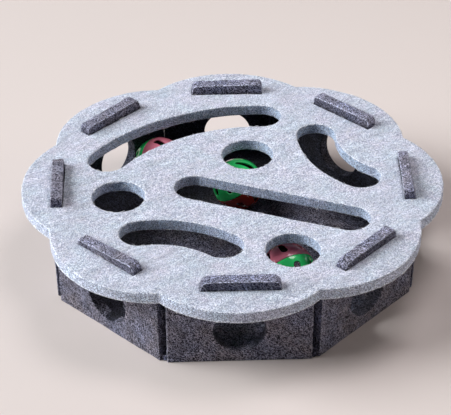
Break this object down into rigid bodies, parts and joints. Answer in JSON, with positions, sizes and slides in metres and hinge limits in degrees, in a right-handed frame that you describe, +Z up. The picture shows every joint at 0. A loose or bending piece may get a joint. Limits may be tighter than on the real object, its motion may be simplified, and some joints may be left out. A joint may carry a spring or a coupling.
{
  "type": "felt cat puzzle box",
  "caption": "Scalloped felt puzzle box for cats: a folded tray with a hole in each flap, a lid with play holes held on by tabs, and hollow bicoloured balls rolling inside.",
  "frame": {"origin": "on the floor, at the middle of the tray's base", "axes": "+Z up, -Y towards the front flap, +X to the right seen from the front"},
  "size_m": [0.353, 0.353, 0.0813],
  "materials": {
    "dark_felt": "charcoal needle felt flecked with paler fibres",
    "light_felt": "light blue-grey needle felt flecked with darker and white fibres",
    "pink_plastic": "glossy moulded plastic, dusky pink",
    "green_plastic": "glossy moulded plastic, green",
    "red_plastic": "glossy moulded plastic, red-orange"
  },
  "bodies": {
    "box": {"tray": "dark_felt", "lid": "light_felt"},
    "front_ball": {"ball_front_pink": "pink_plastic", "ball_front_green": "green_plastic"},
    "middle_ball": {"ball_middle_green": "green_plastic", "ball_middle_red": "red_plastic"},
    "back_ball": {"ball_back_pink": "pink_plastic", "ball_back_green": "green_plastic"}
  },
  "joints": [
    {"name": "front_ball_run", "type": "slide", "parent": "box", "child": "front_ball", "axis": [0.9298, -0.3679, 0], "range_m": [-0.11, 0.03]},
    {"name": "middle_ball_run", "type": "slide", "parent": "box", "child": "middle_ball", "axis": [0.9298, -0.3679, 0], "range_m": [-0.015, 0.1]},
    {"name": "back_ball_run", "type": "hinge", "parent": "box", "child": "back_ball", "pos_m": [0.0224, -0.0539, 0.0328], "axis": [0, 0, 1], "range_deg": [-30, 20]}
  ]
}
